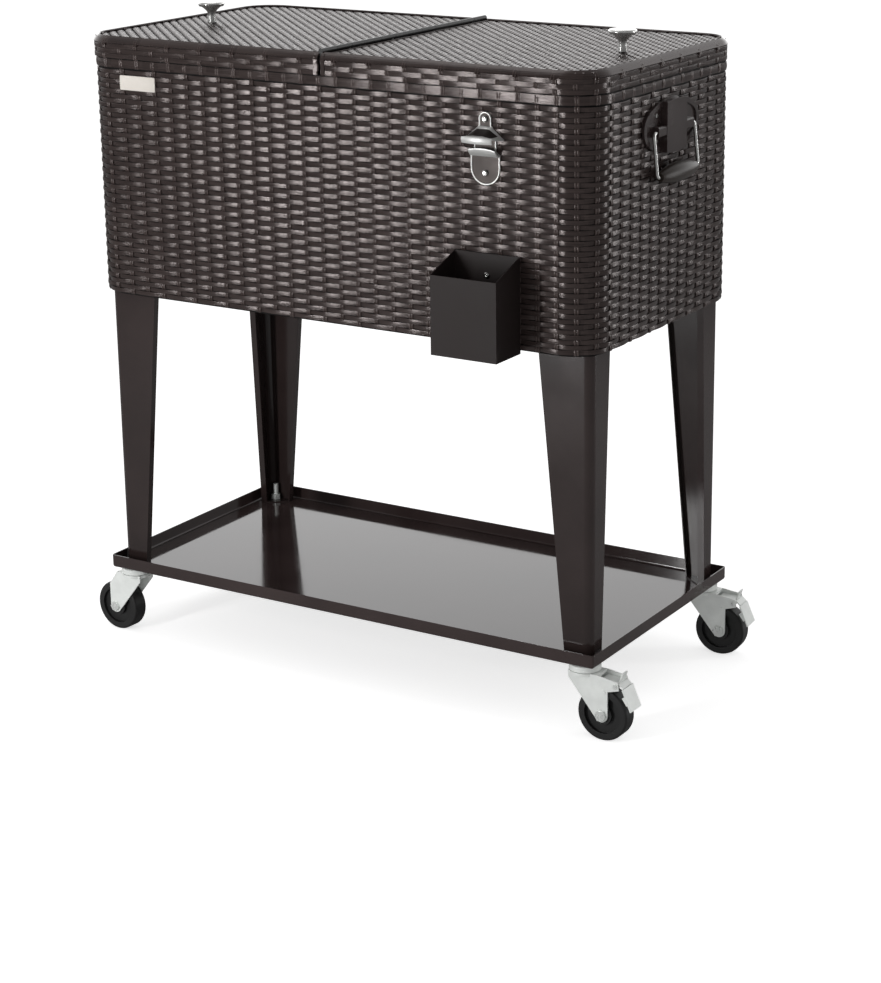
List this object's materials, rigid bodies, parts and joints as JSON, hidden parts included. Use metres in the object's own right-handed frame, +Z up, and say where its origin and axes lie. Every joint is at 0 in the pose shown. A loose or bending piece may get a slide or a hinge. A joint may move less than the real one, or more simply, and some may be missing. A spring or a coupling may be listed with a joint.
{
  "type": "wicker cooler cart",
  "caption": "Insulated ice chest in a woven casing with split hinged lids, bottle opener and cap catcher, on a wheeled stand with a shelf tray.",
  "frame": {"origin": "middle of the footprint, on the floor", "axes": "+X along the long side towards the braked casters, -Y the front with the bottle opener, +Z up"},
  "size_m": [0.8956, 0.4754, 0.9065],
  "materials": {
    "wicker": "woven flat strip, dark brown, satin",
    "lid_wicker": "woven flat strip, dark brown, satin",
    "rim": "wrapped frame, dark brown, satin",
    "tub": "smooth light grey",
    "liner": "smooth light grey",
    "foam": "closed-cell foam",
    "base": "black board",
    "hinge_black": "black satin paint",
    "brown_paint": "dark brown gloss powder coat",
    "tray_paint": "dark brown high-gloss powder coat",
    "handle_paint": "dark brown satin paint",
    "grip": "dark brown moulded grip",
    "badge": "bare satin plate",
    "knob_chrome": "polished",
    "bail_chrome": "polished",
    "opener_steel": "polished, slightly brushed",
    "screw_steel": "polished",
    "caster_zinc": "bright zinc plate",
    "zinc": "zinc plate",
    "wheel_rubber": "moulded black",
    "plug_rubber": "moulded black",
    "drain_plastic": "moulded white-grey"
  },
  "bodies": {
    "cart": {"outer_casing": "wicker", "body_rim": "rim", "inner_tub": "tub", "insulation": "foam", "base_panel": "base", "centre_bridge": "hinge_black", "bridge_screws": "zinc", "hinge_blade": "hinge_black", "hinge_pin": "zinc", "badge_plate": "badge", "bottle_opener": "opener_steel", "opener_screws": "screw_steel", "cap_catcher": "brown_paint", "catcher_screw": "screw_steel", "left_handle_plate": "handle_paint", "right_handle_plate": "handle_paint", "handle_screws": "screw_steel", "front_left_leg": "brown_paint", "front_right_leg": "brown_paint", "back_left_leg": "brown_paint", "back_right_leg": "brown_paint", "leg_bolts": "zinc", "tray": "tray_paint", "caster_raceways": "caster_zinc", "caster_nuts": "zinc", "drain_spout": "drain_plastic", "drain_nut": "drain_plastic"},
    "left_lid": {"left_hinge_leaf": "hinge_black", "left_lid_shell": "lid_wicker", "left_lid_foam": "foam", "left_lid_liner": "liner", "left_lid_knob": "knob_chrome", "left_knob_screw": "zinc"},
    "right_lid": {"right_hinge_leaf": "hinge_black", "right_lid_shell": "lid_wicker", "right_lid_foam": "foam", "right_lid_liner": "liner", "right_lid_knob": "knob_chrome", "right_knob_screw": "zinc"},
    "left_bail": {"left_bail_rod": "bail_chrome", "left_grip": "grip"},
    "right_bail": {"right_bail_rod": "bail_chrome", "right_grip": "grip"},
    "front_left_swivel": {"front_left_fork": "caster_zinc", "front_left_axle": "zinc"},
    "front_right_swivel": {"front_right_fork": "caster_zinc", "front_right_axle": "zinc", "front_right_brake_pin": "zinc"},
    "back_left_swivel": {"back_left_fork": "caster_zinc", "back_left_axle": "zinc"},
    "back_right_swivel": {"back_right_fork": "caster_zinc", "back_right_axle": "zinc", "back_right_brake_pin": "zinc"},
    "front_left_roller": {"front_left_wheel": "wheel_rubber"},
    "front_right_roller": {"front_right_wheel": "wheel_rubber"},
    "back_left_roller": {"back_left_wheel": "wheel_rubber"},
    "back_right_roller": {"back_right_wheel": "wheel_rubber"},
    "front_right_brake": {"front_right_brake": "caster_zinc"},
    "back_right_brake": {"back_right_brake": "caster_zinc"},
    "plug": {"drain_plug": "plug_rubber"}
  },
  "joints": [
    {"name": "left_lid_hinge", "type": "hinge", "parent": "cart", "child": "left_lid", "pos_m": [-0.00375, 0.02775, 0.88], "axis": [0, 1, 0], "range_deg": [0, 84]},
    {"name": "right_lid_hinge", "type": "hinge", "parent": "cart", "child": "right_lid", "pos_m": [-0.00375, 0.02775, 0.88], "axis": [0, -1, 0], "range_deg": [0, 84]},
    {"name": "left_bail_hinge", "type": "hinge", "parent": "cart", "child": "left_bail", "pos_m": [-0.41095, 0.02775, 0.784], "axis": [0, 1, 0], "range_deg": [0, 90]},
    {"name": "right_bail_hinge", "type": "hinge", "parent": "cart", "child": "right_bail", "pos_m": [0.40345, 0.02775, 0.784], "axis": [0, -1, 0], "range_deg": [0, 90]},
    {"name": "front_left_swivel_axis", "type": "hinge", "parent": "cart", "child": "front_left_swivel", "pos_m": [-0.37875, -0.14625, 0.09], "axis": [0, 0, 1], "continuous": true},
    {"name": "front_right_swivel_axis", "type": "hinge", "parent": "cart", "child": "front_right_swivel", "pos_m": [0.37125, -0.14625, 0.09], "axis": [0, 0, 1], "continuous": true},
    {"name": "back_left_swivel_axis", "type": "hinge", "parent": "cart", "child": "back_left_swivel", "pos_m": [-0.37875, 0.20175, 0.09], "axis": [0, 0, 1], "continuous": true},
    {"name": "back_right_swivel_axis", "type": "hinge", "parent": "cart", "child": "back_right_swivel", "pos_m": [0.37125, 0.20175, 0.09], "axis": [0, 0, 1], "continuous": true},
    {"name": "front_left_roll", "type": "hinge", "parent": "front_left_swivel", "child": "front_left_roller", "pos_m": [-0.41022, -0.14482, 0.0365], "axis": [-0.0454, -0.999, 0], "continuous": true},
    {"name": "front_right_roll", "type": "hinge", "parent": "front_right_swivel", "child": "front_right_roller", "pos_m": [0.40275, -0.14636, 0.0365], "axis": [0.0035, 1, 0], "continuous": true},
    {"name": "back_left_roll", "type": "hinge", "parent": "back_left_swivel", "child": "back_left_roller", "pos_m": [-0.41025, 0.20175, 0.0365], "axis": [0, -1, 0], "continuous": true},
    {"name": "back_right_roll", "type": "hinge", "parent": "back_right_swivel", "child": "back_right_roller", "pos_m": [0.40265, 0.20422, 0.0365], "axis": [-0.0785, 0.9969, 0], "continuous": true},
    {"name": "front_right_brake_lever", "type": "hinge", "parent": "front_right_swivel", "child": "front_right_brake", "pos_m": [0.42325, -0.14643, 0.081], "axis": [0.0035, 1, 0], "range_deg": [0, 8.5]},
    {"name": "back_right_brake_lever", "type": "hinge", "parent": "back_right_swivel", "child": "back_right_brake", "pos_m": [0.42309, 0.20583, 0.081], "axis": [-0.0785, 0.9969, 0], "range_deg": [0, 8.5]},
    {"name": "plug_pull", "type": "slide", "parent": "cart", "child": "plug", "axis": [0, 0, -1], "range_m": [0, 0.028]}
  ]
}
